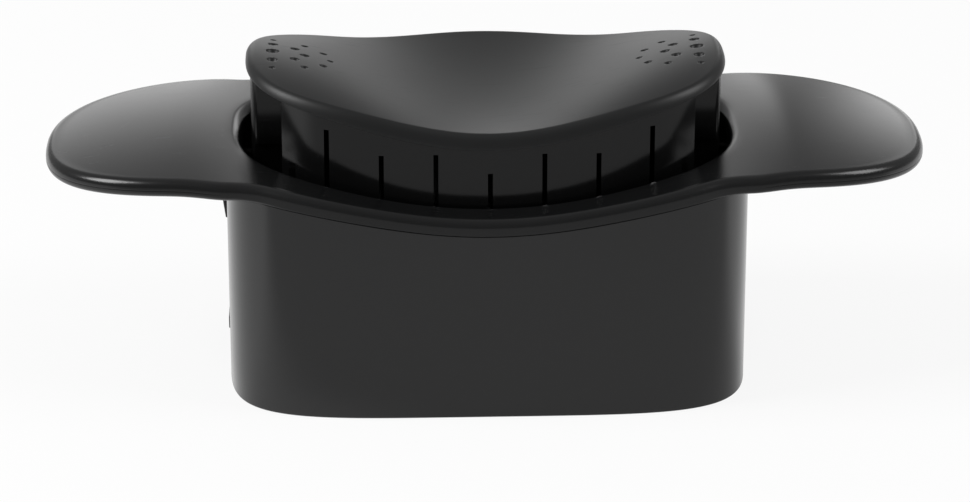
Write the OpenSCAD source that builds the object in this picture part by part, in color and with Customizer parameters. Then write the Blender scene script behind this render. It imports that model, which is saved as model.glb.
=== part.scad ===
// Press-through potato cutter. A winged body is pressed down over a potato, a lattice of steel
// blades in its lower end cuts it into chips, and a slotted pusher drives the chips through.
// The origin is the middle of the lower rim. X runs along the handles and the front faces -Y.
// The pusher is drawn raised, ready to be pressed.

/* [Skirt] */
// Outside length of the skirt, end to end
skirt_length = 117.6; // [112:0.2:126]
// Outside depth of the skirt, front to back
skirt_depth = 82.4; // [78:0.2:88]
// Squareness of the skirt's outline, where 2 is an ellipse
skirt_power = 4.7; // [3.6:0.1:6]
// Wall of the skirt
skirt_wall = 1.6; // [1.2:0.1:2.2]
// Chamfer along the lower rim
rim_chamfer = 0.5; // [0.2:0.1:0.8]

/* [Brim and handles] */
// Span over both handles
handle_span = 199.6; // [180:0.2:220]
// Width of a handle at its root
handle_width = 69; // [67:0.5:74]
// Thickness of a handle
handle_thickness = 4; // [3:0.1:5.2]
// Roundness of the handle's tip, where 2 is an ellipse
handle_power = 2.45; // [1.9:0.05:3]
// Droop of a handle from its root to its tip
handle_droop = 3; // [0:0.1:6]
// Crown of a handle's middle above its edges
handle_crown = 2; // [0:0.1:4]
// Height of the brim's top at the middle of the front
brim_height = 47.2; // [44:0.2:54]
// Rise of the brim from the middle of the front to the ends of the opening
brim_rise = 7.6; // [4:0.2:9]
// Thickness of the brim at the middle of the front
brim_thickness = 3.8; // [3:0.1:6]
// Overhang of the brim past the skirt at the front
brim_overhang = 0.2; // [0:0.1:3]
// Distance from the skirt's face to the opening at the front
rim_width = 7.8; // [7:0.1:10]
// Radius along the upper edge of the brim and handles
edge_radius = 2.2; // [0.8:0.1:3]
// Radius along the lower edge of the handles
under_radius = 1.5; // [0.6:0.1:2]
// Radius along the lower edge of the brim, above the skirt
seam_radius = 0.2; // [0.2:0.1:1]
// Radius of the opening's edge at the front and back
rim_radius = 0.6; // [0.3:0.1:1.6]
// Radius of the opening's edge at the ends
mouth_radius = 2.4; // [0.6:0.1:2.6]
// Size of the gusset under the root of each handle
gusset_size = 4; // [2:0.1:6]

/* [Collar] */
// Wall of the collar that guides the pusher
collar_wall = 1.6; // [1.2:0.1:2.2]
// Squareness of the opening's outline, where 2 is an ellipse
opening_power = 2.8; // [2.6:0.1:3.2]
// Thickness of a guide rib
rib_thickness = 2.2; // [1.4:0.1:3]
// Height of a guide rib above the collar's lower edge
rib_height = 24; // [12:0.5:26]

/* [Blades] */
// Distance between neighbouring blades
blade_pitch = 12; // [11:0.1:13]
// Height of a blade
blade_height = 9.5; // [7:0.1:12]
// Thickness of a blade
blade_thickness = 0.5; // [0.3:0.05:0.8]
// Height of the ground cutting edge
bevel_height = 1.4; // [0.6:0.1:2]
// Length of a blade's end inside the frame
blade_seat = 3.2; // [2:0.1:3.8]

/* [Blade frame] */
// Height of the open mouth below the blade frame
mouth_depth = 7; // [5:0.5:10]
// Frame below the blades
frame_floor = 2; // [1:0.1:4]
// Frame above the blades
frame_cover = 1.5; // [1:0.1:4]
// Width of a snap tab
tab_width = 14; // [8:0.5:20]
// Height of a snap tab
tab_height = 5.6; // [4:0.1:6.4]
// How far a snap tab stands proud of the skirt
tab_proud = 0.4; // [0.2:0.1:0.8]

/* [Pusher] */
// Length of the slotted block
block_length = 92; // [86:0.5:96]
// Width of the guide tongue at each end of the block
tongue_width = 24; // [18:0.5:28]
// Width of a slot
slot_width = 1.1; // [1:0.05:1.6]
// Solid height above each slot, from the middle slot outwards
slot_web = [4.5, 1.2, 4.7, 3.1]; // [1:0.1:8]
// Rounding of the block's upright edges
block_round = 1; // [0.4:0.1:1.6]
// Wall round the hollow of a post
post_wall = 2; // [1.2:0.1:3]
// Height of the posts' feet above the table when fully pressed
foot_height = 2.5; // [1:0.1:4]

/* [Cap] */
// Height of the cap's middle above the brim's front
cap_lift = 15.7; // [14:0.1:20]
// Rise of the cap from its middle to its ends
cap_rise = 10.4; // [4:0.2:14]
// Hollow across the middle of the cap
cap_dish = 2.2; // [0:0.1:4]
// Crown across the ends of the cap, at its full depth
cap_crown = 5.3; // [0:0.1:10]
// Lean of the cap's ends: how far their front edge is raised and their rear edge lowered
cap_lean = 0.5; // [0:0.1:3]
// Pitch of the cap's middle: how far its front edge is lowered and its rear edge raised
cap_pitch = 1.1; // [0:0.1:1.5]
// Share by which the cap's trough narrows to the front and widens to the back
cap_turn = 0.28; // [0:0.02:0.4]
// Thickness of the cap
cap_thickness = 3.4; // [2.4:0.1:4]
// Thickness of the cap at its ends
cap_edge = 1.7; // [1.6:0.1:3]
// Radius along the cap's upper edge
cap_radius = 2.2; // [0.6:0.1:2.4]
// Overhang of the cap past the block at the ends
cap_overhang = 1; // [0.4:0.1:1.6]
// Overhang of the cap past the block at the front and back
cap_brow = 0.3; // [0.2:0.1:1]
// Depth of a grip dimple
dimple_depth = 0.9; // [0.4:0.1:1.6]

/* [Clearances] */
// Gap along the seam between brim and skirt
seam_gap = 0.1; // [0.1:0.05:0.4]
// Gap between the collar and the skirt at the ends
collar_fit = 0.2; // [0.1:0.05:0.5]
// Gap between the cap and the opening at the ends
cap_clearance = 1.2; // [0.6:0.1:2]
// Gap between the cap and the opening at the front and back
side_fit = 0.4; // [0.3:0.1:1]
// Gap between a guide rib and the tongue
guide_fit = 0.3; // [0.3:0.05:0.6]
// Gap between the pusher's posts and the frame's aperture
aperture_clearance = 0.6; // [0.4:0.1:1]
// Gap between the blade frame and the skirt
frame_fit = 0.25; // [0.15:0.05:0.5]
// Gap on each side of a blade in its seat and at its laps
blade_fit = 0.05; // [0.03:0.01:0.1]
// Gap between the blade frame and the collar
frame_gap = 0.2; // [0.1:0.05:0.4]
// Gap above the blade frame at the start and the end of the stroke
stroke_gap = 0.5; // [0.3:0.1:1]
// Gap between the cap and the block
cap_gap = 0.15; // [0.05:0.05:0.3]
// Gap round a snap tab in its window
tab_fit = 0.3; // [0.2:0.05:0.6]

/* [Hidden] */

// Number of blades each way
cross_blades = 7;
long_blades = 5;
// Points round an outline, round a quarter of an edge and across the brim
around = 96;
edge_steps = around / 32;
brim_steps = around / 16;
// How an outline's points are spread, where lower values draw them to its corners
oval_spread = 0.7;

// Half sizes, from the skirt inwards
skirt_a = skirt_length / 2;
skirt_b = skirt_depth / 2;
opening_a = skirt_a - skirt_wall - collar_fit - collar_wall;
opening_b = skirt_b - rim_width;
cap_a = opening_a - cap_clearance;
cap_b = opening_b - side_fit;
block_a = cap_a - cap_overhang;
block_b = cap_b - cap_brow;
handle_root = opening_a + collar_wall;
brim_reach = 1.12 * handle_root;

// Heights
blade_z = mouth_depth + frame_floor;
blade_top = blade_z + blade_height;
lap_z = blade_z + blade_height / 2;
frame_top = blade_top + frame_cover;
collar_z = frame_top + frame_gap;
post_z = frame_top + stroke_gap;
stroke = post_z - foot_height;
tongue_z = frame_top + stroke + stroke_gap;
cap_z = brim_height + cap_lift;

// Margin by which a cutting shape passes the face that it cuts
over = 1;

black_plastic = [0.2, 0.2, 0.21];
soft_black = [0.27, 0.27, 0.28];
steel = [0.75, 0.76, 0.78];

// Point of a superellipse with half sizes a and b, in a direction that turns with t
function oval(a, b, power, t) = let (
        u = sign(cos(t)) * pow(abs(cos(t)), oval_spread),
        v = sign(sin(t)) * pow(abs(sin(t)), oval_spread),
        reach = pow(pow(abs(u), power) + pow(abs(v), power), -1 / power)
    )
    [a * u * reach, b * v * reach];
// Half width of a superellipse at distance x from its middle
function oval_half(a, b, power, x) = b * pow(max(0, 1 - pow(abs(x) / a, power)), 1 / power);
// Outline of a superellipse
function oval_outline(a, b, power) = [for (i = [0 : around - 1]) oval(a, b, power, 360 * i / around)];
// Unit normal, to the right of the way from point p to point q
function normal(p, q) = [q.y - p.y, p.x - q.x] / norm(q - p);

// Wave that rises from 0 at the middle to 1 at distance x = reach
function wave(x, reach) = (1 - cos(180 * min(abs(x) / reach, 1))) / 2;
// Top of the brim and handles at distance x from the middle
function brim_z(x) = brim_height + brim_rise * wave(x, brim_reach)
    - handle_droop * pow(max(0, (abs(x) - handle_root) / (handle_span / 2 - handle_root)), 1.8);
// Thickness of the brim and handles at distance x from the middle
function brim_t(x) = brim_thickness + (handle_thickness - brim_thickness) * wave(x, brim_reach);
// Top of the cap, a saddle: low in its middle, crowned and leaning back across its ends
function cap_top(x, y) = let (v = y / cap_b, w = wave(x, cap_a * (1 + cap_turn * v)))
    cap_z + cap_rise * w
    + (cap_pitch * (1 - w) - cap_lean * w) * v
    + (cap_dish * (1 - w) - cap_crown * w) * v * v;
// Thickness of the cap at distance x from the middle
function cap_t(x) = cap_thickness + (cap_edge - cap_thickness) * pow(wave(x, cap_a), 2);

// Half width of the brim and handles at distance x from the middle
function brim_half(x) = let (
        u = min(abs(x) / handle_root, 1),
        v = min(max(0, (abs(x) - handle_root) / (handle_span / 2 - handle_root)), 1),
        half = handle_width / 2
    )
    abs(x) < handle_root
        ? half + (skirt_b + brim_overhang - half) * pow(1 - pow(u, 4), 1.5)
        : half * pow(max(0, 1 - pow(v, handle_power)), 1 / handle_power);
// Outer edge of the brim and handles at angle t round the body
function brim_edge(t) = let (x = handle_span / 2 * cos(t)) [x, sign(sin(t)) * brim_half(x)];
// Top of the brim and handles at a point in plan: each handle is crowned between its edges
function brim_top(p) = let (
        reach = (handle_span / 2 - handle_root) / 2,
        crown = handle_crown * wave(max(0, abs(p.x) - handle_root), reach)
    )
    brim_z(p.x) + crown * (pow(brim_half(p.x), 2) - pow(p.y, 2)) / pow(handle_width / 2, 2);
// Radius of the opening's edge at distance x from the middle
function mouth_round(x) = rim_radius + (mouth_radius - rim_radius) * wave(x, opening_a);
// Radius of the lower edge at distance x from the middle: fine above the skirt, full along the handles
function under_round(x) = seam_radius + (under_radius - seam_radius)
    * wave(max(0, abs(x) - 0.8 * opening_a), 0.25 * opening_a);
// Underside of the brim and handles
function brim_under(p) = brim_top(p) - brim_t(p.x);

// Solid through closed sections of points, joined round in a ring
module ring_loft(sections) {
    n = len(sections);
    m = len(sections[0]);
    points = [for (s = sections) each s];
    faces = [
        for (i = [0 : n - 1], j = [0 : m - 1])
            let (a = i * m + j, b = i * m + (j + 1) % m,
                 c = (i + 1) % n * m + (j + 1) % m, d = (i + 1) % n * m + j)
            each [[a, c, b], [a, d, c]]
    ];
    polyhedron(points, faces);
}

// Solid through loops of points from its top to its underside, closed by a point at each end
module capped_loft(first, loops, last) {
    n = len(loops);
    m = len(loops[0]);
    points = [first, for (l = loops) each l, last];
    faces = [
        for (j = [0 : m - 1]) [0, 1 + (j + 1) % m, 1 + j],
        for (i = [0 : n - 2], j = [0 : m - 1])
            let (a = 1 + i * m + j, b = 1 + i * m + (j + 1) % m, c = a + m, d = b + m)
            each [[a, b, d], [a, d, c]],
        for (j = [0 : m - 1]) [1 + (n - 1) * m + j, 1 + (n - 1) * m + (j + 1) % m, 1 + n * m]
    ];
    polyhedron(points, faces);
}

// Section through the brim at angle t: up the collar, over the brim, round its edge and back
function brim_section(t) = let (
        inner = oval(opening_a, opening_b, opening_power, t),
        inner_out = normal(oval(opening_a, opening_b, opening_power, t - 0.5),
                           oval(opening_a, opening_b, opening_power, t + 0.5)),
        outer = brim_edge(t),
        outer_out = normal(brim_edge(t - 0.5), brim_edge(t + 0.5)),
        mouth = mouth_round(inner.x),
        lower = under_round(outer.x),
        squeeze = min(1, 0.95 * brim_t(outer.x) / (edge_radius + lower)),
        edge = edge_radius * squeeze,
        under = lower * squeeze,
        lip = inner + inner_out * mouth,
        shoulder = outer - outer_out * edge,
        heel = outer - outer_out * under,
        back = inner + inner_out * collar_wall,
        turns = [for (k = [0 : edge_steps]) 90 * k / edge_steps],
        steps = [for (k = [1 : brim_steps - 1]) k / brim_steps]
    ) [
        [inner.x, inner.y, collar_z],
        for (k = turns)
            let (p = inner + inner_out * mouth * (1 - cos(k)))
            [p.x, p.y, brim_top(p) - mouth * (1 - sin(k))],
        for (s = steps)
            let (p = lip + (shoulder - lip) * s) [p.x, p.y, brim_top(p)],
        for (k = turns)
            let (p = shoulder + outer_out * edge * sin(k))
            [p.x, p.y, brim_top(shoulder) - edge * (1 - cos(k))],
        for (k = turns)
            let (p = heel + outer_out * under * cos(k))
            [p.x, p.y, brim_under(heel) + under * (1 - sin(k))],
        for (s = steps)
            let (p = heel + (back - heel) * s) [p.x, p.y, brim_under(p)],
        [back.x, back.y, brim_under(back)],
        [back.x, back.y, collar_z]
    ];

module guide_ribs() {
    rib_y = tongue_width / 2 + guide_fit;
    rib_start = block_length / 2 + aperture_clearance + over;
    rib_end = oval_half(opening_b, opening_a, opening_power, rib_y) + collar_wall / 3;
    for (sx = [-1, 1], sy = [0, 1])
        mirror([sx < 0 ? 1 : 0, 0, 0])
            mirror([0, sy, 0])
                translate([rib_start, rib_y, collar_z])
                    cube([rib_end - rib_start, rib_thickness, rib_height]);
}

module gussets() {
    root = skirt_a + seam_gap;
    under = brim_under([root, 0]);
    for (side = [0, 1])
        mirror([side, 0, 0])
            rotate([90, 0, 0])
                linear_extrude(height = 2 * gusset_size, center = true)
                    polygon([
                        [root, under - gusset_size],
                        [root + gusset_size / 2, under + over],
                        [root, under + over]
                    ]);
}

module handle_frame() {
    color(soft_black)
        union() {
            ring_loft([for (i = [0 : around - 1]) brim_section(360 * i / around)]);
            guide_ribs();
            gussets();
        }
}

// Section through the skirt's wall at angle t
function skirt_section(t) = let (
        p = oval(skirt_a, skirt_b, skirt_power, t),
        out = normal(oval(skirt_a, skirt_b, skirt_power, t - 0.5),
                     oval(skirt_a, skirt_b, skirt_power, t + 0.5)),
        foot = p - out * rim_chamfer,
        q = p - out * skirt_wall
    ) [
        [q.x, q.y, 0],
        [q.x, q.y, brim_under(q) - seam_gap],
        [p.x, p.y, brim_under(p) - seam_gap],
        [p.x, p.y, rim_chamfer],
        [foot.x, foot.y, 0]
    ];

module tab_windows() {
    for (side = [0, 1])
        mirror([side, 0, 0])
            translate([skirt_a - skirt_wall - over, -tab_width / 2 - tab_fit, mouth_depth + frame_floor / 2 - tab_fit])
                cube([skirt_wall + 2 * over, tab_width + 2 * tab_fit, tab_height + 2 * tab_fit]);
}

module skirt() {
    color(black_plastic)
        difference() {
            ring_loft([for (i = [0 : around - 1]) skirt_section(360 * i / around)]);
            tab_windows();
        }
}

// Plan of the pusher's block: an oval with notched corners
module block_plan() {
    intersection() {
        polygon(oval_outline(block_a, block_b, opening_power));
        union() {
            square([block_length, skirt_depth], center = true);
            square([skirt_length, tongue_width], center = true);
        }
    }
}

// Plan of the opening through the blade frame
module aperture_plan() {
    intersection() {
        polygon(oval_outline(block_a + aperture_clearance, block_b + aperture_clearance, opening_power));
        square([block_length + 2 * aperture_clearance, skirt_depth], center = true);
    }
}

// Half length of a blade: from the middle of the aperture to the end in its seat
function cross_half(x) = oval_half(block_a + aperture_clearance, block_b + aperture_clearance,
                                   opening_power, x) + blade_seat;
function long_half(y) = min(block_length / 2 + aperture_clearance,
                            oval_half(block_b + aperture_clearance, block_a + aperture_clearance,
                                      opening_power, y)) + blade_seat;
function cross_x(i) = (i - (cross_blades + 1) / 2) * blade_pitch;
function long_y(i) = (i - (long_blades + 1) / 2) * blade_pitch;

module blade_seats() {
    seat = blade_thickness + 2 * blade_fit;
    for (i = [1 : cross_blades])
        translate([cross_x(i), 0, lap_z])
            cube([seat, 2 * (cross_half(cross_x(i)) + blade_fit), blade_height + 2 * blade_fit], center = true);
    for (i = [1 : long_blades])
        translate([0, long_y(i), lap_z])
            cube([2 * (long_half(long_y(i)) + blade_fit), seat, blade_height + 2 * blade_fit], center = true);
}

module frame_ring(z0, z1) {
    inset = skirt_wall + frame_fit;
    difference() {
        translate([0, 0, z0])
            linear_extrude(height = z1 - z0)
                difference() {
                    polygon(oval_outline(skirt_a - inset, skirt_b - inset, skirt_power));
                    aperture_plan();
                }
        blade_seats();
    }
}

module snap_tabs() {
    base = skirt_a - skirt_wall - frame_fit - over;
    face = skirt_a + tab_proud;
    tab_z = mouth_depth + frame_floor / 2;
    for (side = [0, 1])
        mirror([side, 0, 0])
            rotate([90, 0, 0])
                linear_extrude(height = tab_width, center = true)
                    polygon([
                        [base, tab_z],
                        [face, tab_z],
                        [face, tab_z + tab_height / 2],
                        [face - tab_proud - skirt_wall / 2, tab_z + tab_height],
                        [base, tab_z + tab_height]
                    ]);
}

module blade_frame_lower() {
    color(black_plastic)
        union() {
            frame_ring(mouth_depth, lap_z);
            snap_tabs();
        }
}

module blade_frame_upper() {
    color(black_plastic)
        frame_ring(lap_z, frame_top);
}

// Ground steel strip along Y with its cutting edge down
module blade_strip(half_length) {
    half = blade_thickness / 2;
    translate([0, 0, blade_z])
        rotate([90, 0, 0])
            linear_extrude(height = 2 * half_length, center = true)
                polygon([
                    [0, 0],
                    [half, bevel_height],
                    [half, blade_height],
                    [-half, blade_height],
                    [-half, bevel_height]
                ]);
}

module lap_notch(z0, z1) {
    notch = blade_thickness + 2 * blade_fit;
    translate([-notch / 2, -notch / 2, z0])
        cube([notch, notch, z1 - z0]);
}

// Strip from front to back, notched from above
module cross_blade(i) {
    color(steel)
        translate([cross_x(i), 0, 0])
            difference() {
                blade_strip(cross_half(cross_x(i)));
                for (k = [1 : long_blades])
                    translate([0, long_y(k), 0])
                        lap_notch(lap_z - blade_fit, blade_top + over);
            }
}

// Strip from end to end, notched from below
module long_blade(i) {
    color(steel)
        translate([0, long_y(i), 0])
            difference() {
                rotate([0, 0, 90])
                    blade_strip(long_half(long_y(i)));
                for (k = [1 : cross_blades])
                    translate([cross_x(k), 0, 0])
                        lap_notch(blade_z - over, lap_z + blade_fit);
            }
}

// Everything above the cap's underside
module above_block() {
    reach_x = skirt_a;
    reach_y = skirt_b;
    steps_x = around / 2;
    steps_y = around / 8;
    roof = cap_z + cap_rise + cap_lift;
    underside = [
        for (i = [0 : steps_x])
            [for (j = [0 : steps_y])
                let (x = reach_x * (2 * i / steps_x - 1), y = reach_y * (2 * j / steps_y - 1))
                [x, y, cap_top(x, y) - cap_t(x) - cap_gap]]
    ];
    rows = steps_y + 1;
    low = [for (row = underside) each row];
    high = [for (p = low) [p.x, p.y, roof]];
    lift = len(low);
    rim = [
        for (j = [0 : steps_y]) j,
        for (i = [1 : steps_x]) i * rows + steps_y,
        for (j = [1 : steps_y]) steps_x * rows + steps_y - j,
        for (i = [1 : steps_x - 1]) (steps_x - i) * rows
    ];
    faces = [
        for (i = [0 : steps_x - 1], j = [0 : steps_y - 1])
            let (a = i * rows + j, b = a + 1, c = a + rows, d = c + 1)
            each [[a, c, d], [a, d, b], [a + lift, d + lift, c + lift], [a + lift, b + lift, d + lift]],
        for (k = [0 : len(rim) - 1])
            let (p = rim[k], q = rim[(k + 1) % len(rim)])
            each [[p, q, q + lift], [p, q + lift, p + lift]]
    ];
    polyhedron(concat(low, high), faces);
}

module slots() {
    reach = skirt_length;
    for (i = [1 : cross_blades]) {
        x = cross_x(i);
        top = cap_top(x, 0) - cap_thickness - slot_web[abs(i - (cross_blades + 1) / 2)];
        translate([x - slot_width / 2, -reach / 2, post_z - over])
            cube([slot_width, reach, top - post_z + over]);
    }
    long_top = cap_z - cap_thickness - slot_web[0];
    for (i = [1 : long_blades])
        translate([-reach / 2, long_y(i) - slot_width / 2, post_z - over])
            cube([reach, slot_width, long_top - post_z + over]);
}

// Hollows of the inner posts, open under the cap
module post_hollows() {
    side = blade_pitch - slot_width - 2 * post_wall;
    for (i = [1 : cross_blades - 1], j = [1 : long_blades - 1])
        translate([cross_x(i) + (blade_pitch - side) / 2, long_y(j) + (blade_pitch - side) / 2, post_z + post_wall])
            cube([side, side, cap_z + cap_rise]);
}

module pusher_block() {
    color(black_plastic)
        difference() {
            translate([0, 0, post_z])
                linear_extrude(height = cap_z + cap_rise - post_z)
                    offset(r = block_round, $fn = 24)
                        offset(delta = -block_round)
                            block_plan();
            for (side = [0, 1])
                mirror([side, 0, 0])
                    translate([block_length / 2, -skirt_depth / 2, post_z - over])
                        cube([skirt_a, skirt_depth, tongue_z - post_z + over]);
            slots();
            post_hollows();
            above_block();
        }
}

// Loop of the cap: its outline moved in by inset, shrunk by scale s and dropped from the saddle
// by a depth or by the cap's own thickness. The rounded edge hangs from the saddle at the round's
// inner side, and is flatter where the cap is thin.
function cap_loop(inset, s, drop, under = false) = [
    for (i = [0 : around - 1])
        let (t = 360 * i / around,
             p = oval(cap_a, cap_b, opening_power, t),
             out = normal(oval(cap_a, cap_b, opening_power, t - 0.5), oval(cap_a, cap_b, opening_power, t + 0.5)),
             edge = p - out * cap_radius,
             q = (p - out * inset) * s,
             ref = inset < cap_radius && !under ? edge : q,
             thick = cap_t(ref.x))
        [q.x, q.y, cap_top(ref.x, ref.y) - (under ? thick : drop * min(1, 0.9 * thick / cap_radius))]
];

// Grip dimples of one end: place along and across the cap, and diameter
dimples = [
    for (d = [[48, 0, 3.1], [40.8, 0, 2.2], [35, 0, 1.5]]) d,
    for (d = [[48, 6.2, 2.4], [48, 11, 1.4], [43, 4.4, 2.2], [40.8, 9.2, 1.7], [36.6, 5.5, 1.8]], side = [-1, 1])
        [d[0], side * d[1], d[2]]
];

module grip_dimples() {
    for (end = [-1, 1], d = dimples)
        translate([end * d[0], d[1], cap_top(d[0], d[1]) - dimple_depth])
            cylinder(h = dimple_depth + cap_thickness, d = d[2], $fn = 24);
}

module pusher_cap() {
    rings = around / 8;
    shrink = [for (k = [1 : rings]) k / rings];
    turns = [for (k = [1 : edge_steps]) 90 * k / edge_steps];
    loops = concat(
        [for (s = shrink) cap_loop(cap_radius, s, 0)],
        [for (k = turns) cap_loop(cap_radius * (1 - sin(k)), 1, cap_radius * (1 - cos(k)))],
        [cap_loop(0, 1, 0, true)],
        [for (k = [0 : len(shrink) - 1]) cap_loop(cap_radius, shrink[len(shrink) - 1 - k], 0, true)]
    );
    color(soft_black)
        difference() {
            capped_loft([0, 0, cap_z], loops, [0, 0, cap_z - cap_thickness]);
            grip_dimples();
        }
}

handle_frame();
skirt();
blade_frame_lower();
blade_frame_upper();
for (i = [1 : cross_blades])
    cross_blade(i);
for (i = [1 : long_blades])
    long_blade(i);
pusher_block();
pusher_cap();
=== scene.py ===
"""Looks of a press-through potato cutter: moulded shells, a slotted pusher and a steel blade lattice.

Drawing sizes are in millimetres, in the frame of the CAD model: X along the handles, Y to the
back, Z up from the lower rim. Angles are in degrees. Meshes are made in metres.
"""
import math

import bmesh
import bpy
import numpy as np
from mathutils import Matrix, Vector


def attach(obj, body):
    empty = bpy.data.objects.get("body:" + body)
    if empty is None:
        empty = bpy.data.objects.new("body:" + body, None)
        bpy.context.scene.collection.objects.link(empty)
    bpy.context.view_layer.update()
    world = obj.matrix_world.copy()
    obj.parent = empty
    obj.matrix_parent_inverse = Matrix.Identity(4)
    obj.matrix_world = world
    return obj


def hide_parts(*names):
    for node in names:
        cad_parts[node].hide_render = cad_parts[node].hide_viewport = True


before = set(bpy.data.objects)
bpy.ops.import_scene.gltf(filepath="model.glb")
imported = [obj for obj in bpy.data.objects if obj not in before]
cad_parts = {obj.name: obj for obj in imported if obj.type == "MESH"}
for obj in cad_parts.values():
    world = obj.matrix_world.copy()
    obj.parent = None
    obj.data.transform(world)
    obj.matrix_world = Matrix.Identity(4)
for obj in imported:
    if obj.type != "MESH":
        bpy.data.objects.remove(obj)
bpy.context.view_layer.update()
MM = 0.001

# Ovals: how much their points crowd to the corners
OVAL_SPREAD = 0.7

# Skirt
SKIRT_A = 58.8
SKIRT_B = 41.2
SKIRT_POWER = 4.7
SKIRT_WALL = 1.6
FOOT_ROUND = 0.5
RIM_ROUND = 0.15
SEAM_GAP = 0.04
WINDOW_HALF = 7.3
WINDOW_LOW = 7.7
WINDOW_HIGH = 13.9
WINDOW_CLEAR = 0.2
SKIRT_CRISP = 50.0

# Opening and collar
OPENING_A = 55.4
OPENING_B = 33.4
OPENING_POWER = 2.8
LIP_RADIUS = 0.6
MOUTH_RADIUS = 2.4
COLLAR_WALL = 1.6
COLLAR_LOW = 20.2
COLLAR_ROUND = 0.4

# Brim
BRIM_HEIGHT = 47.2
BRIM_RISE = 7.6
BRIM_REACH = 63.84
BRIM_HALF = 41.4
BRIM_THICKNESS = 3.8
DRAW_POWER = 4
DRAW_EASE = 1.5
BRIM_LAP = 0.05
LAP_SOFTNESS = 0.8
LAP_START = 15.0
LAP_REACH = 30.0

# Handles
HANDLE_ROOT = 57.0
HANDLE_TIP = 99.8
HANDLE_HALF = 34.5
HANDLE_POWER = 2.45
HANDLE_THICKNESS = 4.0
HANDLE_DROOP = 3.0
DROOP_POWER = 1.8
HANDLE_CROWN = 2.0
CROWN_START = 43.0
CROWN_REACH = 28.0
ROOT_FILL = 1.25
ROOT_DIP = 0.5
ROOT_OFFSET = 1.5
ROOT_SPREAD = 7.0

# Outer edge of the brim and handles
EDGE_RADIUS = 2.2
EDGE_SHARE = 0.95
UNDER_RADIUS = 1.5
UNDER_START = 0.8 * OPENING_A
UNDER_REACH = 0.25 * OPENING_A
SEAM_RADIUS = 0.35
PARTING_DEPTH = 0.16
PARTING_HALF = 0.12
PARTING_REACH = 8.0

# Guide ribs on the collar, and gussets under the handles
RIB_X = (47.6, 54.7)
RIB_Y = (12.3, 14.5)
RIB_TALL = 24.0
RIB_ROUND = 0.35
RIB_CRISP = 40.0
GUSSET_HALF = 4.0
GUSSET_TALL = 17.3
GUSSET_DEEP = 3.0
GUSSET_SUNK = 1.0
GUSSET_ROUND = 0.3

# Cap
CAP_A = 54.2
CAP_B = 33.0
CAP_Z = 62.9
CAP_RISE = 10.35
CAP_DISH = 2.2
CAP_CROWN = 5.3
CAP_LEAN = 0.5
CAP_PITCH = 1.1
CAP_NARROW = 0.28
CAP_RIPPLE = 0.8
CAP_THICKNESS = 3.4
CAP_EDGE = 1.7
CAP_RADIUS = 2.2
CAP_ROLL = 66.0
CAP_TUCK = 0.08
CAP_SEAT = 0.1
SOLE_SHARES = (1.0, 0.96, 0.85, 0.7, 0.5, 0.25)

# Gripped ends of the cap. Pits of one end: distance along the cap, distance across it, diameter
GRIP_HALF = 15.5
GRIP_WEIGHT = 4.0
GRIP_FROM = 0.62
GRIP_TO = 0.98
PIT_DEPTH = 0.9
PIT_SNAP = 0.11
PITS = [
    (48, 0, 3.1), (40.8, 0, 2.2), (35, 0, 1.5),
    (48, 6.2, 2.4), (48, -6.2, 2.4), (48, 11, 1.4), (48, -11, 1.4),
    (43, 4.4, 2.2), (43, -4.4, 2.2), (40.8, 9.2, 1.7), (40.8, -9.2, 1.7),
    (36.6, 5.5, 1.8), (36.6, -5.5, 1.8),
]

# Slotted block: how near the oval, and how square to it, a triangle of its outer wall is
BLOCK_A = 53.2
BLOCK_B = 32.7
WALL_NEAR = 0.012
WALL_SQUARE = 0.95

# Cassette
CASSETTE_ROUND = 0.25

# Columns round the shells, and rings of the cap: its middle, its gripped ends and its rolled edge
FRAME_COLUMNS = 768
SKIRT_COLUMNS = 720
CAP_COLUMNS = 560
CAP_RINGS = 26
GRIP_RINGS = 92
ROLL_RINGS = 11

# Copies of the solids: angle of a crisp edge, angle within which faces are one, distance of one point
COPY_CRISP = 32.0
COPY_FLAT = 0.4
COPY_MERGE = 0.002

# Moulded plastic: scale of the drift per metre, turn in radians and stretch of the rub marks
DRIFT_SCALE = 38.0
DRIFT_GLOSS = 0.05
GRAIN_GLOSS = 0.04
GRAIN_STRENGTH = 0.5
RUB_TURN = (0.3, 0.5, 0.7)
RUB_STRETCH = (60, 1900, 700)
RUB_FROM = 0.66
RUB_FULL = 0.74
RUB_GLOSS = 0.04
RUB_RELIEF = 0.35

# Blade steel: scales of the rolling streaks and grinding lines per metre
BLADE_LOW = 9.0
BLADE_GROUND = 1.4
STEEL_DARK = (0.42, 0.43, 0.45, 1)
STEEL_PALE = (0.72, 0.73, 0.75, 1)
STEEL_ROUGHNESS = 0.34
STEEL_RELIEF = 0.02
STEEL_STRENGTH = 0.3
ROLL_LONG = 25
ROLL_FINE = 4000
STREAK_GLOSS = 0.16
GRIND_FINE = 5200
GRIND_WIDE = 300
GRIND_TALL = 40
GROUND_TONE = 0.55
GROUND_GLOSS = 0.12

# Floor
WHITE = (1, 1, 1, 1)
FLOOR_HALF = 4000.0
FLOOR_PAPER = (0.9, 0.9, 0.9, 1)
# Grey of the painted shade that reflections show in a wedge in front of the object
FLOOR_PAINTED_SHADE = (0.49, 0.49, 0.49, 1)
FLOOR_SEEN = 0.88
FLOOR_MIRRORED = 0.9
# Wedge of painted shade in front of the object: its slope to each side, where it starts and where it is
# full
WEDGE_LEFT = 0.6
WEDGE_RIGHT = 0.14
WEDGE_FROM = -20.0
WEDGE_FULL = 40.0

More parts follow.
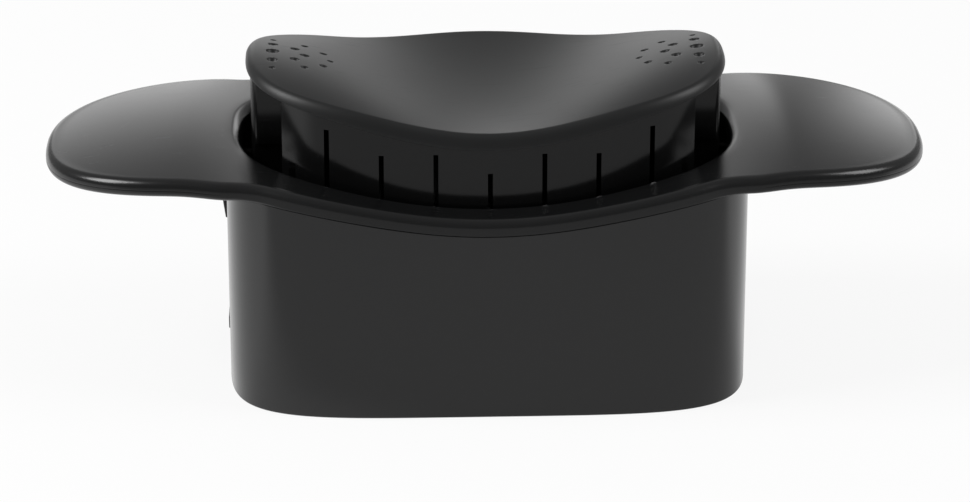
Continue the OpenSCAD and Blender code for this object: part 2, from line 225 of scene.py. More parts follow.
# Studio: ranges of a direction's X, Y or Z over which each part of it fades
BEHIND = (-0.4, 0.4)
OVERHEAD = (0.4, 1.0)
LEFT_BOX_LEFT = (-0.34, -0.24)
LEFT_BOX_RIGHT = (0.08, 0.13)
LEFT_BOX_TOP = (0.14, 0.48)
RIGHT_BOX_LEFT = (0.16, 0.25)
RIGHT_BOX_RIGHT = (0.30, 0.37)
RIGHT_BOX_TOP = (0.20, 0.47)
LEFT_BOX_GLOW = 1.3
LEFT_BOX_HAZE = 0.1
RIGHT_BOX_GLOW = 1.8
BACKDROP_GLOW = 0.34
ROOM_GLOW = 0.22
OVERHEAD_GLOW = 0.08

# Lamps
LAMP_AIM = (0, 0, 40)
LAMP_SIZE = 550
KEY_PLACE = (-950, -150, 850)
KEY_POWER = 11.0
FILL_PLACE = (950, -200, 850)
FILL_POWER = 6.0

# Camera
CAMERA_AZIMUTH = -2.1
CAMERA_ELEVATION = 22.0
CAMERA_AIM = (0, 0, 23.5)
CAMERA_AWAY = 900.0
CAMERA_LENS = 144.63
CAMERA_SENSOR = 36.0


def wave(x, reach):
    """Half a cosine wave that rises from 0 at the middle to 1 at the distance reach and past it."""
    return (1 - np.cos(np.pi * np.minimum(np.abs(x) / reach, 1))) / 2


def beyond(x, start):
    """Distance along X past a start, the same on both sides, and 0 before it."""
    return np.maximum(0, np.abs(x) - start)


def oval(a, b, power, turn):
    """Superellipse: a direction that turns with the angle, its parts raised to a power, pushed out to
    where the power sum of its distances over the half sizes a and b is 1."""
    c = np.cos(turn)
    s = np.sin(turn)
    u = np.sign(c) * np.abs(c) ** OVAL_SPREAD
    v = np.sign(s) * np.abs(s) ** OVAL_SPREAD
    reach = (np.abs(u) ** power + np.abs(v) ** power) ** (-1 / power)
    return np.stack([a * u * reach, b * v * reach], -1)


def skirt_outline(turn):
    """Plan of the skirt's outer face: a superellipse."""
    return oval(SKIRT_A, SKIRT_B, SKIRT_POWER, turn)


def opening_outline(turn):
    """Plan of the opening that the pusher goes through: a superellipse."""
    return oval(OPENING_A, OPENING_B, OPENING_POWER, turn)


def cap_outline(turn):
    """Plan of the cap: a superellipse with the opening's power."""
    return oval(CAP_A, CAP_B, OPENING_POWER, turn)


def outward(outline, turn):
    """Unit normal of a plan outline: the chord over one degree, turned a quarter to the right."""
    step = math.radians(0.5)
    chord = outline(turn + step) - outline(turn - step)
    normal = np.stack([chord[..., 1], -chord[..., 0]], -1)
    return normal / np.linalg.norm(normal, axis=-1, keepdims=True)


def handle_reach(x):
    """Share of the way from a handle's root, 0, to its tip, 1."""
    return np.clip((np.abs(x) - HANDLE_ROOT) / (HANDLE_TIP - HANDLE_ROOT), 0, 1)


def skirt_half(x):
    """Half width of the skirt in plan: its superellipse."""
    return SKIRT_B * (1 - np.minimum(np.abs(x) / SKIRT_A, 1) ** SKIRT_POWER) ** (1 / SKIRT_POWER)


def root_bell(x):
    """Bell curve along X, 1 just past the root of each handle."""
    return np.exp(-((np.abs(x) - HANDLE_ROOT - ROOT_OFFSET) / ROOT_SPREAD) ** 2)


def brim_half(x):
    """Half width in plan: the brim draws in to the handle's root by a power curve but laps the skirt,
    with a soft maximum of the two, and the handle runs out to its tip along a superellipse. A bell
    curve fills the waist between them."""
    u = np.minimum(np.abs(x) / HANDLE_ROOT, 1)
    drawn = HANDLE_HALF + (BRIM_HALF - HANDLE_HALF) * (1 - u ** DRAW_POWER) ** DRAW_EASE
    lapped = skirt_half(x) + BRIM_LAP
    soft = LAP_SOFTNESS * wave(beyond(x, LAP_START), LAP_REACH)
    brim = (drawn + lapped + np.sqrt((drawn - lapped) ** 2 + soft ** 2)) / 2
    handle = HANDLE_HALF * (1 - handle_reach(x) ** HANDLE_POWER) ** (1 / HANDLE_POWER)
    return np.where(np.abs(x) < HANDLE_ROOT, brim, handle) + ROOT_FILL * root_bell(x)


def brim_edge(turn):
    """Plan of the brim and handles: X goes with the angle's cosine, Y is the half width there."""
    x = HANDLE_TIP * np.cos(turn)
    return np.stack([x, np.sign(np.sin(turn)) * brim_half(x)], -1)


def brim_top(p):
    """Height of the brim and handles: a wave along X, a slight dip at the handles' roots, a droop
    towards the tips, and a crown across each handle that is 0 along its edges."""
    x = p[..., 0]
    crown = HANDLE_CROWN * wave(beyond(x, CROWN_START), CROWN_REACH)
    level = BRIM_HEIGHT + BRIM_RISE * wave(x, BRIM_REACH)
    level = level - HANDLE_DROOP * handle_reach(x) ** DROOP_POWER - ROOT_DIP * root_bell(x)
    return level + crown * (brim_half(x) ** 2 - p[..., 1] ** 2) / HANDLE_HALF ** 2


def brim_thickness(x):
    """Thickness of the brim, which turns along the same wave to that of the handles."""
    return BRIM_THICKNESS + (HANDLE_THICKNESS - BRIM_THICKNESS) * wave(x, BRIM_REACH)


def brim_under(p):
    """Height of the underside of the brim and handles: the top less the thickness."""
    return brim_top(p) - brim_thickness(p[..., 0])


def mouth_round(x):
    """Radius of the opening's edge: fine at the front and back, and along a wave full at the ends."""
    return LIP_RADIUS + (MOUTH_RADIUS - LIP_RADIUS) * wave(x, OPENING_A)


def under_round(x):
    """Radius of the lower edge: fine above the skirt, and along a wave full on the handles."""
    return SEAM_RADIUS + (UNDER_RADIUS - SEAM_RADIUS) * wave(beyond(x, UNDER_START), UNDER_REACH)


def saddle(p):
    """Saddle of the cap: the middle line rises as a wave along X, a parabola across Y turns from a dish
    in the middle to a crown at the ends, the middle pitches forward and the ends lean back, and the
    trough narrows forward."""
    across = p[..., 1] / CAP_B
    w = wave(p[..., 0], CAP_A * (1 + CAP_NARROW * across))
    tilt = CAP_PITCH * (1 - w) - CAP_LEAN * w
    bow = CAP_DISH * (1 - w) - CAP_CROWN * w
    return CAP_Z + CAP_RISE * w + tilt * across + bow * across ** 2


def cap_top(p):
    """Top of the cap: the saddle with a ripple along X, a cosine that fades by a wave to the ends and
    grows by a square to the back."""
    x = p[..., 0]
    across = p[..., 1] / CAP_B
    fade = 1 - wave(beyond(x, CAP_A / 2), CAP_A / 2)
    return saddle(p) + CAP_RIPPLE * np.cos(2 * np.pi * x / CAP_A) * fade * ((1 + across) / 2) ** 2


def cap_sole(p):
    """Underside of the cap: the saddle less a thickness that is full in the middle and thinner by the
    square of a wave towards the ends, set down on the block."""
    thickness = CAP_THICKNESS + (CAP_EDGE - CAP_THICKNESS) * wave(p[..., 0], CAP_A) ** 2
    return saddle(p) - thickness - CAP_SEAT


def rise(p, z):
    """Points in plan p at the heights z."""
    return np.concatenate([p, np.broadcast_to(z, p.shape[:-1])[..., None]], -1)


def arc(steps):
    """Angles from 0 to a quarter turn."""
    return np.linspace(0, np.pi / 2, steps + 1)


def inner_steps(steps):
    """Shares between 0 and 1, without the ends."""
    return np.linspace(0, 1, steps + 1)[1:-1]


def grid_ids(points):
    """Index of each point of a grid, row by row."""
    return np.arange(points.shape[0] * points.shape[1]).reshape(points.shape[:2])


def grid_faces(ids, round_rows):
    """Quads between neighbouring points of an index grid. Columns close round, and rows if asked."""
    after = np.roll(ids, -1, axis=0) if round_rows else ids[1:]
    rows = ids if round_rows else ids[:-1]
    return np.stack([rows, np.roll(rows, -1, axis=1), np.roll(after, -1, axis=1), after], -1)


def tipped_faces(ids):
    """Quads of an index grid whose columns close round, with a fan of triangles from its first row and
    one from its last to two tips, the points that follow the grid's own."""
    first = np.stack([np.full(ids.shape[1], ids.size), np.roll(ids[0], -1), ids[0]], -1)
    last = np.stack([np.full(ids.shape[1], ids.size + 1), ids[-1], np.roll(ids[-1], -1)], -1)
    return grid_faces(ids, False).reshape(-1, 4).tolist() + first.tolist() + last.tolist()


def smooth_piece(name, shape, sharp=None):
    """Object of a shape, smooth, with edges sharper than the given angle kept crisp."""
    mesh = bpy.data.meshes.new(name)
    shape.to_mesh(mesh)
    shape.free()
    mesh.polygons.foreach_set("use_smooth", np.ones(len(mesh.polygons), bool))
    if sharp is not None:
        mesh.set_sharp_from_angle(angle=math.radians(sharp))
    piece = bpy.data.objects.new(name, mesh)
    bpy.context.scene.collection.objects.link(piece)
    return piece


def mesh_piece(name, points, faces, sharp=None):
    """Smooth object from points in millimetres and faces, with its normals turned outwards."""
    drawn = bpy.data.meshes.new(name)
    drawn.from_pydata((np.asarray(points) * MM).tolist(), [], faces)
    shape = bmesh.new()
    shape.from_mesh(drawn)
    bpy.data.meshes.remove(drawn)
    bmesh.ops.recalc_face_normals(shape, faces=shape.faces)
    return smooth_piece(name, shape, sharp)


def merged_copy(node):
    """Shape of a node's solid with its loose triangles merged."""
    shape = bmesh.new()
    shape.from_mesh(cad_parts[node].data)
    bmesh.ops.remove_doubles(shape, verts=shape.verts, dist=COPY_MERGE * MM)
    return shape


def handle_frame_piece():
    """Brim, handles and collar: one closed section carried round the opening. The section goes up the
    inside of the collar, over the mouth by a quarter round, across the top to the edge, round the edge
    past the parting line, back along the underside, and down the outside of the collar."""
    turn = np.linspace(0, 2 * np.pi, FRAME_COLUMNS, endpoint=False)
    inner = opening_outline(turn)
    inner_out = outward(opening_outline, turn)
    outer = brim_edge(turn)
    outer_out = outward(brim_edge, turn)
    lower = under_round(outer[:, 0])
    room = EDGE_SHARE * brim_thickness(outer[:, 0])
    squeeze = np.minimum(1, room / (EDGE_RADIUS + lower))[:, None]
    edge = EDGE_RADIUS * squeeze
    under = lower[:, None] * squeeze
    mouth = mouth_round(inner[:, 0])[:, None]
    lip = inner + inner_out * mouth
    shoulder = outer - outer_out * edge
    heel = outer - outer_out * under
    back = inner + inner_out * COLLAR_WALL
    under_high = brim_under(heel) + under[:, 0]
    parting_z = (brim_top(shoulder) - edge[:, 0] + under_high) / 2
    parting = PARTING_DEPTH * wave(beyond(outer[:, :1], HANDLE_ROOT), PARTING_REACH)
    rows = []
    for k in arc(3)[::-1]:
        p = inner + inner_out * COLLAR_ROUND * (1 - np.cos(k))
        rows.append(rise(p, COLLAR_LOW + COLLAR_ROUND * (1 - np.sin(k))))
    for k in arc(8):
        p = inner + inner_out * mouth * (1 - np.cos(k))
        rows.append(rise(p, brim_top(p) - mouth[:, 0] * (1 - np.sin(k))))
    for s in inner_steps(22):
        p = lip + (shoulder - lip) * s
        rows.append(rise(p, brim_top(p)))
    for k in arc(9):
        p = shoulder + outer_out * edge * np.sin(k)
        rows.append(rise(p, brim_top(shoulder) - edge[:, 0] * (1 - np.cos(k))))
    for z, share in ((PARTING_HALF, 0), (0, 1), (-PARTING_HALF, 0)):
        rows.append(rise(outer - outer_out * parting * share, parting_z + z))
    for k in arc(7):
        p = heel + outer_out * under * np.cos(k)
        rows.append(rise(p, under_high - under[:, 0] * np.sin(k)))
    for s in inner_steps(14):
        p = heel + (back - heel) * s
        rows.append(rise(p, brim_under(p)))
    rows.append(rise(back, brim_under(back)))
    for k in arc(3):
        p = back - inner_out * COLLAR_ROUND * (1 - np.cos(k))
        rows.append(rise(p, COLLAR_LOW + COLLAR_ROUND * (1 - np.sin(k))))
    points = np.stack(rows)
    faces = grid_faces(grid_ids(points), True).reshape(-1, 4)
    return mesh_piece("handle_frame_shell", points.reshape(-1, 3), faces.tolist())


def rounded_solid(name, corners, radius, across=28, along=15):
    """Convex solid with rounded edges: in each direction of a sphere, the corner that lies farthest
    that way, moved in by the radius, plus the radius in that direction. The sphere is turned a little,
    so that no direction lies even between two corners."""
    nudge = 0.01
    corners = np.asarray(corners, float)
    shrunk = corners + np.sign(corners.mean(0) - corners) * radius
    turn = np.linspace(0, 2 * np.pi, across, endpoint=False) + nudge
    tilt = np.linspace(-np.pi / 2, np.pi / 2, along + 2)[1:-1]
    ring = np.stack([np.cos(turn), np.sin(turn), np.zeros(across)], -1)
    sphere = ring[None] * np.cos(tilt)[:, None, None]
    sphere[..., 2] = np.sin(tilt)[:, None]
    tips = np.array([[0, 0, -1.0], [0, 0, 1.0]])
    way = np.concatenate([sphere.reshape(-1, 3), tips])
    points = shrunk[np.argmax(way @ shrunk.T, axis=1)] + way * radius
    return mesh_piece(name, points, tipped_faces(grid_ids(sphere)), sharp=RIB_CRISP)


def guide_rib_piece(name, side_x, side_y):
    """Upright rib on the collar that guides the pusher's tongue: a rounded box."""
    z = (COLLAR_LOW, COLLAR_LOW + RIB_TALL)
    corners = [(side_x * a, side_y * b, c) for a in RIB_X for b in RIB_Y for c in z]
    return rounded_solid(name, corners, RIB_ROUND)


def gusset_piece(name, side):
    """Tapered rib under the root of a handle: a rounded wedge whose top is sunk into the handle."""
    root = SKIRT_A + SEAM_GAP
    under = float(brim_under(np.array([root, 0.0])))
    top = under + GUSSET_SUNK
    profile = [(root, under - GUSSET_TALL), (root + GUSSET_DEEP, top), (root, top)]
    corners = [(side * x, y, z) for x, z in profile for y in (-GUSSET_HALF, GUSSET_HALF)]
    return rounded_solid(name, corners, GUSSET_ROUND)


def skirt_turns():
    """Angles round the skirt's outline: equal steps, with those nearest the sides of the end windows
    changed for the angles of the sides themselves."""
    table = np.linspace(0, np.pi / 4, 4000)
    corner = np.interp(WINDOW_HALF, skirt_outline(table)[:, 1], table)
    turn = np.linspace(0, 2 * np.pi, SKIRT_COLUMNS, endpoint=False)
    sides = np.array([corner, np.pi - corner, np.pi + corner, 2 * np.pi - corner])
    near = np.abs(turn[:, None] - sides[None]).min(1) < math.radians(WINDOW_CLEAR)
    return np.sort(np.concatenate([turn[~near], sides]))


def skirt_piece():
    """Skirt: a wall section with rounded rims carried round the outline, its upper rim a seam's gap
    under the brim. The cells of a window at each end are left out, and its reveal joins both faces."""
    turn = skirt_turns()
    face = skirt_outline(turn)
    out = outward(skirt_outline, turn)

    def wall(inset, z):
        """Ring of the outline, moved in by an inset, at a height."""
        return rise(face - out * inset, z)

    def seam(inset):
        """Height of the upper rim on such a ring."""
        return brim_under(face - out * inset) - SEAM_GAP

    rows = [wall(FOOT_ROUND * (1 - np.sin(k)), FOOT_ROUND * (1 - np.cos(k))) for k in arc(5)]
    outer_low = len(rows)
    rows += [wall(0, WINDOW_LOW), wall(0, WINDOW_HIGH)]
    for k in arc(4):
        inset = RIM_ROUND * (1 - np.cos(k))
        rows.append(wall(inset, seam(inset) - RIM_ROUND * (1 - np.sin(k))))
    for k in arc(4):
        inset = SKIRT_WALL - RIM_ROUND * (1 - np.sin(k))
        rows.append(wall(inset, seam(SKIRT_WALL) - RIM_ROUND * (1 - np.cos(k))))
    inner_high = len(rows)
    rows += [wall(SKIRT_WALL, WINDOW_HIGH), wall(SKIRT_WALL, WINDOW_LOW)]
    for k in arc(3):
        inset = SKIRT_WALL - RIM_ROUND * (1 - np.cos(k))
        rows.append(wall(inset, RIM_ROUND * (1 - np.sin(k))))
    points = np.stack(rows)
    ids = grid_ids(points)
    quads = grid_faces(ids, True)
    middle = (face + np.roll(face, -1, axis=0)) / 2
    gap = (np.abs(middle[:, 1]) < WINDOW_HALF) & (np.abs(middle[:, 0]) > SKIRT_A / 2)
    keep = np.ones(quads.shape[:2], bool)
    keep[outer_low, gap] = False
    keep[inner_high, gap] = False
    outer = ids[outer_low:outer_low + 2]
    inner = ids[inner_high:inner_high + 2][::-1]
    sills = np.stack([outer, np.roll(outer, -1, axis=1), np.roll(inner, -1, axis=1), inner], -1)
    jambs = np.stack([outer[0], outer[1], inner[1], inner[0]], -1)
    side = gap != np.roll(gap, 1)
    faces = np.concatenate([quads[keep], sills[:, gap].reshape(-1, 4), jambs[side]])
    return mesh_piece("skirt_shell", points.reshape(-1, 3), faces.tolist(), sharp=SKIRT_CRISP)


def cap_turns():
    """Angles round the cap's outline, close together across the gripped ends: equal steps of the
    outline's length, which counts more where the ends' pits lie."""
    fine = np.linspace(0, 2 * np.pi, 20001)
    p = cap_outline(fine)
    length = np.linalg.norm(np.diff(p, axis=0), axis=1)
    middle = (p[1:] + p[:-1]) / 2
    gripped = (np.abs(middle[:, 1]) < GRIP_HALF) & (np.abs(middle[:, 0]) > CAP_A / 2)
    total = np.concatenate([[0], np.cumsum(length * np.where(gripped, GRIP_WEIGHT, 1.0))])
    return np.interp(np.linspace(0, total[-1], CAP_COLUMNS, endpoint=False), total, fine)


def pitted(p):
    """Points p with those beside a pit's rim drawn to it, and their depth below the cap's top: a pit's
    depth falls with the root of 1 minus the cube of distance over radius."""
    depth = np.zeros(p.shape[:-1])
    moved = p.copy()
    for x, y, diameter in PITS:
        centre = np.stack([np.sign(p[..., 0]) * x, np.full(p.shape[:-1], float(y))], -1)
        away = p - centre
        distance = np.linalg.norm(away, axis=-1)
        radius = diameter / 2
        at_rim = np.abs(distance - radius) < PIT_SNAP
        rim = centre + away / np.maximum(distance, 1e-6)[..., None] * radius
        moved = np.where(at_rim[..., None], rim, moved)
        bowl = PIT_DEPTH * np.sqrt(np.maximum(0, 1 - (distance / radius) ** 3))
        depth = np.maximum(depth, np.where(at_rim, 0, bowl))
    return moved, depth


def cap_piece():
    """Cap: rings of the outline shrink to the middle of the saddle, close together across the gripped
    ends, an elliptic roll that stops short of upright leads down to a small round, and a few rings
    close the underside."""
    turn = cap_turns()
    face = cap_outline(turn)
    out = outward(cap_outline, turn)
    ledge = face - out * CAP_RADIUS
    middle = np.linspace(0, GRIP_FROM, CAP_RINGS)[1:-1]
    shares = np.concatenate([middle, np.linspace(GRIP_FROM, GRIP_TO, GRIP_RINGS), [0.99, 1.0]])
    top, depth = pitted(ledge[None] * shares[:, None, None])
    rows = [rise(p, cap_top(p) - d) for p, d in zip(top, depth)]
    sole = cap_sole(face)
    lip = cap_top(ledge) - sole - CAP_TUCK
    last = math.radians(CAP_ROLL)
    for k in np.linspace(0, last, ROLL_RINGS)[1:]:
        p = ledge + out * (CAP_RADIUS - CAP_TUCK) * np.sin(k) / np.sin(last)
        rows.append(rise(p, cap_top(ledge) - lip * (1 - np.cos(k)) / (1 - np.cos(last))))
    for k in arc(3)[1:]:
        rows.append(rise(face - out * CAP_TUCK * (2 - np.cos(k)), sole + CAP_TUCK * (1 - np.sin(k))))
    for s in SOLE_SHARES:
        rows.append(rise(ledge * s, cap_sole(ledge * s)))
    points = np.stack(rows)
    centre = np.zeros(2)
    tips = [[0, 0, cap_top(centre)], [0, 0, cap_sole(centre)]]
    faces = tipped_faces(grid_ids(points))
    return mesh_piece("cap_shell", np.concatenate([points.reshape(-1, 3), tips]), faces)


def read_triples(items, key, kind):
    """Three numbers of each item of a mesh, as an array."""
    values = np.empty((len(items), 3), kind)
    items.foreach_get(key, values.ravel())
    return values


def block_piece():
    """Slotted block: the node's solid with its loose triangles merged. The normals of its outer wall
    are those of the oval itself, the gradient of its power sum, so that the wall mirrors as a curve."""
    piece = smooth_piece("pusher_block_shell", merged_copy("pusher_block"), COPY_CRISP)
    mesh = piece.data
    place = read_triples(mesh.vertices, "co", np.float32)[:, :2]
    triangle = read_triples(mesh.polygons, "vertices", np.int32)
    plane = read_triples(mesh.polygons, "normal", np.float32)[:, None]
    half = np.array([BLOCK_A, BLOCK_B])
    share = np.abs(place) / MM / half
    slope = np.sign(place) * share ** (OPENING_POWER - 1) / half
    slope = slope / np.maximum(np.linalg.norm(slope, axis=1, keepdims=True), 1e-9)
    wall = np.concatenate([slope, np.zeros((len(slope), 1))], 1)[triangle]
    on_oval = np.abs((share ** OPENING_POWER).sum(1) - 1)[triangle] < WALL_NEAR
    facing = (on_oval & ((wall * plane).sum(-1) > WALL_SQUARE)).all(1)
    normals = np.where(facing[:, None, None], wall, plane)
    mesh.normals_split_custom_set(normals.reshape(-1, 3))
    return piece


def softened_piece(node, name, width):
    """A node's solid with its loose triangles merged, flat faces joined and its edges rounded."""
    shape = merged_copy(node)
    flat = math.radians(COPY_FLAT)
    bmesh.ops.dissolve_limit(shape, angle_limit=flat, verts=shape.verts, edges=shape.edges)
    piece = smooth_piece(name, shape, COPY_CRISP)
    bevel = piece.modifiers.new("rounded edges", "BEVEL")
    bevel.width = width * MM
    bevel.segments = 2
    bevel.limit_method = "ANGLE"
    bevel.angle_limit = math.radians(COPY_CRISP)
    bevel.use_clamp_overlap = False
    bevel.harden_normals = True
    return piece


class Value:
    """A socket that takes part in sums: each operator adds one Math node to the finish's tree."""

    def __init__(self, finish, socket):
        self.finish = finish
        self.socket = socket

    def math(self, operation, first, second):
        """Math node of two values or numbers."""
        return self.finish.value("ShaderNodeMath", 0, {"operation": operation}, {0: first, 1: second})

    def __add__(self, other):
        return self.math("ADD", self, other)

    def __radd__(self, other):
        return self.math("ADD", other, self)

    def __sub__(self, other):
        return self.math("SUBTRACT", self, other)

    def __rsub__(self, other):
        return self.math("SUBTRACT", other, self)

    def __mul__(self, other):
        return self.math("MULTIPLY", self, other)

    def __rmul__(self, other):
        return self.math("MULTIPLY", other, self)

    def __lt__(self, other):
        return self.math("LESS_THAN", self, other)

    def __gt__(self, other):
        return self.math("GREATER_THAN", self, other)


class Finish:
    """Node tree of one finish, with its output node."""

    def __init__(self, owner, output):
        owner.use_nodes = True
        self.owner = owner
        self.tree = owner.node_tree
        self.tree.nodes.clear()
        self.output = self.node(output)

    def node(self, kind, settings=None, sockets=None):
        """Adds a node of a kind: its settings first, then the values or links of its sockets."""
        made = self.tree.nodes.new(kind)
        for key, value in (settings or {}).items():
            setattr(made, key, value)
        for key, value in (sockets or {}).items():
            if isinstance(value, Value):
                self.tree.links.new(value.socket, made.inputs[key])
            elif isinstance(value, bpy.types.NodeSocket):
                self.tree.links.new(value, made.inputs[key])
            else:
                made.inputs[key].default_value = value
        return made

    def value(self, kind, output, settings=None, sockets=None):
        """Adds a node and gives one of its outputs as a value for sums."""
        return Value(self, self.node(kind, settings, sockets).outputs[output])

    def noise(self, place, scale, detail):
        """Noise around one half at a place."""
        sockets = {"Vector": place, "Scale": scale, "Detail": detail}
        return self.value("ShaderNodeTexNoise", "Fac", {}, sockets)

    def ramp(self, value, start, stop, low=0.0, high=1.0, kind="SMOOTHSTEP"):
        """Goes from low to high while a value goes from start to stop, and is level outside."""
        ends = {"Value": value, "From Min": start, "From Max": stop, "To Min": low, "To Max": high}
        return self.value("ShaderNodeMapRange", 0, {"interpolation_type": kind}, ends)

    def blend(self, factor, first, second):
        """Colour between two colours."""
        sockets = {"Factor": factor, 6: first, 7: second}
        return self.node("ShaderNodeMix", {"data_type": "RGBA"}, sockets).outputs[2]

    def relief(self, height, depth, strength):
        """Normal of a bumpy surface whose height of 1 is a depth in millimetres."""
        sockets = {"Strength": strength, "Distance": depth * MM, "Height": height}
        return self.node("ShaderNodeBump", {}, sockets).outputs[0]

    def close(self, shader):
        """Links a shader to the output."""
        self.tree.links.new(shader.outputs[0], self.output.inputs["Surface"])
        return self.owner


def new_finish(name):
    """Finish of a new material."""
    return Finish(bpy.data.materials.new(name), "ShaderNodeOutputMaterial")


def moulded_plastic(name, dark, pale, roughness, grain, depth, index):
    """Moulded black plastic: a broad drift of tone and gloss, a fine spark-eroded grain of the given
    size and depth, and short hair-fine rub marks. The index is that of refraction."""
    f = new_finish(name)
    place = f.node("ShaderNodeTexCoord").outputs["Object"]
    drift = f.noise(place, DRIFT_SCALE, detail=2.0)
    fine = f.noise(place, 1 / (grain * MM), detail=3.0)
    turned = f.node("ShaderNodeMapping", {}, {
        "Vector": place, "Rotation": RUB_TURN, "Scale": RUB_STRETCH})
    marks = f.ramp(f.noise(turned.outputs[0], 1.0, detail=1.0), RUB_FROM, RUB_FULL)
    gloss = roughness + DRIFT_GLOSS * (drift - 0.5) + GRAIN_GLOSS * (fine - 0.5) + RUB_GLOSS * marks
    shader = f.node("ShaderNodeBsdfPrincipled", {}, {
        "Base Color": f.blend(drift, dark, pale), "Roughness": gloss, "IOR": index,
        "Normal": f.relief(fine - RUB_RELIEF * marks, depth, GRAIN_STRENGTH)})
    return f.close(shader)


def blade_steel(name, along):
    """Stainless strip: long rolling streaks along the blade, and a brighter ground edge whose
    grinding lines run across it."""
    f = new_finish(name)
    place = f.node("ShaderNodeTexCoord").outputs["Object"]
    z = f.value("ShaderNodeSeparateXYZ", "Z", {}, {"Vector": place})
    rolled = (ROLL_LONG, ROLL_FINE, ROLL_FINE)
    ground = (GRIND_FINE, GRIND_WIDE, GRIND_TALL)
    if along == "y":
        rolled = (ROLL_FINE, ROLL_LONG, ROLL_FINE)
        ground = (GRIND_WIDE, GRIND_FINE, GRIND_TALL)
    strip = f.node("ShaderNodeMapping", {}, {"Vector": place, "Scale": rolled})
    bevel = f.node("ShaderNodeMapping", {}, {"Vector": place, "Scale": ground})
    streaks = f.noise(strip.outputs[0], 1.0, detail=4.0)
    lines = f.noise(bevel.outputs[0], 1.0, detail=2.0)
    edge = z < (BLADE_LOW + BLADE_GROUND) * MM
    tone = edge * (GROUND_TONE + (1 - GROUND_TONE) * lines) + (1 - edge) * streaks
    gloss = STEEL_ROUGHNESS - GROUND_GLOSS * edge + STREAK_GLOSS * (streaks - 0.5)
    shader = f.node("ShaderNodeBsdfPrincipled", {}, {
        "Base Color": f.blend(tone, STEEL_DARK, STEEL_PALE), "Metallic": 1.0, "Roughness": gloss,
        "Normal": f.relief(tone, STEEL_RELIEF, STEEL_STRENGTH)})
    return f.close(shader)


def paint(piece, finish):
    """Gives a piece one finish all over."""
    piece.data.materials.clear()
    piece.data.materials.append(finish)


def dress(piece, finish, body, slot, *nodes):
    """Gives a piece its finish and body, and hides the nodes that it stands for."""
    paint(piece, finish)
    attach(piece, body)
    if nodes:
        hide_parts(*nodes)


def floor_finish():
    """White floor: it takes the soft shadow, and shows white to the camera and in reflections, and in
    those a wedge in front of the object is painted grey, as painted shade."""
    f = new_finish("white_floor")
    path = f.node("ShaderNodeLightPath").outputs
    place = f.node("ShaderNodeTexCoord").outputs["Object"]
    split = f.node("ShaderNodeSeparateXYZ", {}, {"Vector": place}).outputs
    x = Value(f, split["X"])
    y = Value(f, split["Y"])
    sides = {0: -WEDGE_LEFT * x, 1: WEDGE_RIGHT * x}
    aside = f.value("ShaderNodeMath", 0, {"operation": "MAXIMUM"}, sides)
    # Painted shade: seen only in reflections, the floor turns grey in a wedge in front of the object
    front = f.ramp(0 - y - aside, WEDGE_FROM * MM, WEDGE_FULL * MM)
    mirrored = Value(f, path["Is Glossy Ray"]) + Value(f, path["Is Transmission Ray"])
    seen = FLOOR_SEEN * Value(f, path["Is Camera Ray"]) + FLOOR_MIRRORED * mirrored
    painted_shade_tint = f.blend(front * mirrored, WHITE, FLOOR_PAINTED_SHADE)
    paper = f.node("ShaderNodeBsdfDiffuse", {}, {"Color": FLOOR_PAPER})
    glow = f.node("ShaderNodeEmission", {}, {"Color": painted_shade_tint, "Strength": 1.0})
    mixed = f.node("ShaderNodeMixShader", {}, {0: seen, 1: paper.outputs[0], 2: glow.outputs[0]})
    f.owner.cycles.emission_sampling = "NONE"
    return f.close(mixed)


def stage_floor():
    """Flat square floor, far larger than the view."""
    corners = [(-1, -1, 0), (1, -1, 0), (1, 1, 0), (-1, 1, 0)]
    mesh = bpy.data.meshes.new("floor")
    mesh.from_pydata([Vector(c) * FLOOR_HALF * MM for c in corners], [], [(0, 1, 2, 3)])
    floor = bpy.data.objects.new("floor", mesh)
    bpy.context.scene.collection.objects.link(floor)
    mesh.materials.append(floor_finish())


def studio_world():
    """Studio by direction: behind the object two soft boxes, left and right, that fade upwards, with a
    dim gap right of the middle, and a dim room in front that is lighter overhead."""
    f = Finish(bpy.context.scene.world or bpy.data.worlds.new("studio"), "ShaderNodeOutputWorld")
    bpy.context.scene.world = f.owner
    way = f.node("ShaderNodeTexCoord").outputs["Generated"]
    split = f.node("ShaderNodeSeparateXYZ", {}, {"Vector": way}).outputs
    x = split["X"]
    z = split["Z"]
    behind = f.ramp(split["Y"], *BEHIND)
    left_box = f.ramp(x, *LEFT_BOX_RIGHT, 1.0, 0.0) * f.ramp(x, *LEFT_BOX_LEFT)
    right_box = f.ramp(x, *RIGHT_BOX_LEFT) * f.ramp(x, *RIGHT_BOX_RIGHT, 1.0, 0.0)
    low_left = f.ramp(z, *LEFT_BOX_TOP, 1.0, 0.0, "LINEAR")
    low_right = f.ramp(z, *RIGHT_BOX_TOP, 1.0, 0.0, "LINEAR")
    left_glow = left_box * (LEFT_BOX_HAZE + LEFT_BOX_GLOW * low_left)
    right_glow = right_box * RIGHT_BOX_GLOW * low_right
    backdrop = BACKDROP_GLOW + left_glow + right_glow
    room = ROOM_GLOW + OVERHEAD_GLOW * f.ramp(z, *OVERHEAD)
    glow = room + behind * (backdrop - room)
    f.close(f.node("ShaderNodeBackground", {}, {"Color": WHITE, "Strength": glow}))


def soft_lamp(name, place, power):
    """Square soft box at a place, turned to the object."""
    light = bpy.data.lights.new(name, "AREA")
    light.size = LAMP_SIZE * MM
    light.energy = power
    lamp = bpy.data.objects.new(name, light)
    lamp.location = Vector(place) * MM
    lamp.rotation_euler = (Vector(LAMP_AIM) - Vector(place)).to_track_quat("-Z", "Y").to_euler()
    bpy.context.scene.collection.objects.link(lamp)


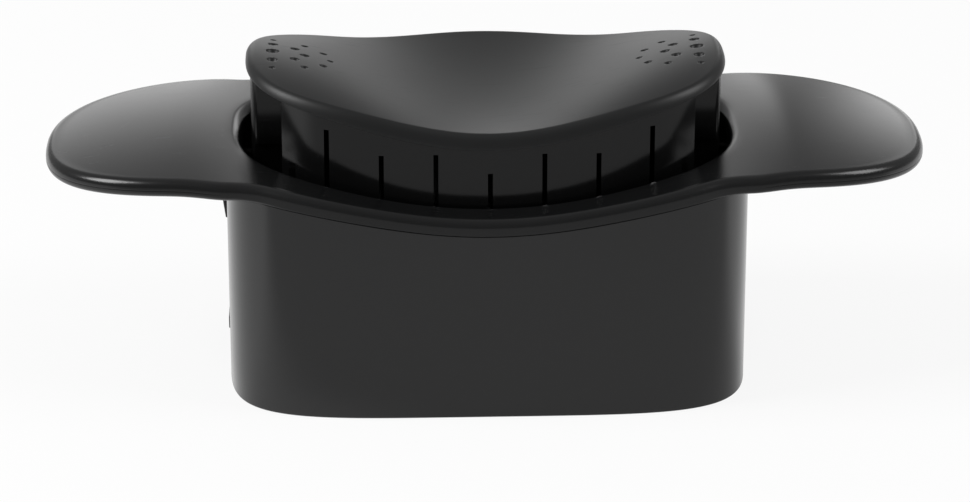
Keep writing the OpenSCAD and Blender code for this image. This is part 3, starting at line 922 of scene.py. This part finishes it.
def photo_camera():
    """Camera in front of the object, above it and a little to the left, with a long lens."""
    azimuth = math.radians(CAMERA_AZIMUTH)
    elevation = math.radians(CAMERA_ELEVATION)
    level = math.cos(elevation)
    back = Vector((math.sin(azimuth) * level, -math.cos(azimuth) * level, math.sin(elevation)))
    camera = bpy.data.cameras.new("camera")
    camera.sensor_width = CAMERA_SENSOR
    camera.lens = CAMERA_LENS
    camera.clip_start = 0.01
    camera.clip_end = 50.0
    holder = bpy.data.objects.new("camera", camera)
    holder.location = (Vector(CAMERA_AIM) + back * CAMERA_AWAY) * MM
    holder.rotation_euler = (-back).to_track_quat("-Z", "Y").to_euler()
    bpy.context.scene.collection.objects.link(holder)
    bpy.context.scene.camera = holder


# Finishes
satin_black = moulded_plastic(
    "satin_black", dark=(0.0045, 0.0046, 0.0048, 1), pale=(0.0065, 0.0067, 0.0069, 1),
    roughness=0.23, grain=0.22, depth=0.006, index=1.46)
cap_black = moulded_plastic(
    "cap_black", dark=(0.007, 0.0072, 0.0074, 1), pale=(0.010, 0.0103, 0.0105, 1),
    roughness=0.42, grain=0.22, depth=0.008, index=1.42)
smooth_black = moulded_plastic(
    "smooth_black", dark=(0.004, 0.0041, 0.0043, 1), pale=(0.006, 0.0061, 0.0064, 1),
    roughness=0.18, grain=0.30, depth=0.003, index=1.60)
block_black = moulded_plastic(
    "block_black", dark=(0.003, 0.0031, 0.0032, 1), pale=(0.005, 0.0051, 0.0052, 1),
    roughness=0.13, grain=0.30, depth=0.002, index=1.43)
frame_black = moulded_plastic(
    "frame_black", dark=(0.010, 0.010, 0.0105, 1), pale=(0.016, 0.016, 0.0165, 1),
    roughness=0.46, grain=0.18, depth=0.014, index=1.46)
cross_steel = blade_steel("cross_blade_steel", "y")
long_steel = blade_steel("long_blade_steel", "x")

# Pieces
dress(handle_frame_piece(), satin_black, "cutter_body", "satin_plastic", "handle_frame")
for end, side_x in (("left", -1), ("right", 1)):
    dress(gusset_piece(f"handle_gusset_{end}", side_x), satin_black, "cutter_body", "satin_plastic")
    for row, side_y in (("front", -1), ("rear", 1)):
        rib = guide_rib_piece(f"guide_rib_{end}_{row}", side_x, side_y)
        dress(rib, satin_black, "cutter_body", "satin_plastic")
dress(skirt_piece(), smooth_black, "cutter_body", "body_plastic", "skirt")
dress(cap_piece(), cap_black, "pusher", "satin_plastic", "pusher_cap")
dress(block_piece(), block_black, "pusher", "body_plastic", "pusher_block")
for half in ("lower", "upper"):
    ring = softened_piece(f"blade_frame_{half}", f"blade_frame_{half}_ring", CASSETTE_ROUND)
    dress(ring, frame_black, "cutter_body", "frame_plastic", f"blade_frame_{half}")
for name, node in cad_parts.items():
    if name.startswith("cross_blade"):
        paint(node, cross_steel)
    if name.startswith("long_blade"):
        paint(node, long_steel)

# Stage
stage_floor()
studio_world()
soft_lamp("key_lamp", KEY_PLACE, KEY_POWER)
soft_lamp("fill_lamp", FILL_PLACE, FILL_POWER)
photo_camera()
bpy.context.scene.view_settings.view_transform = "Standard"
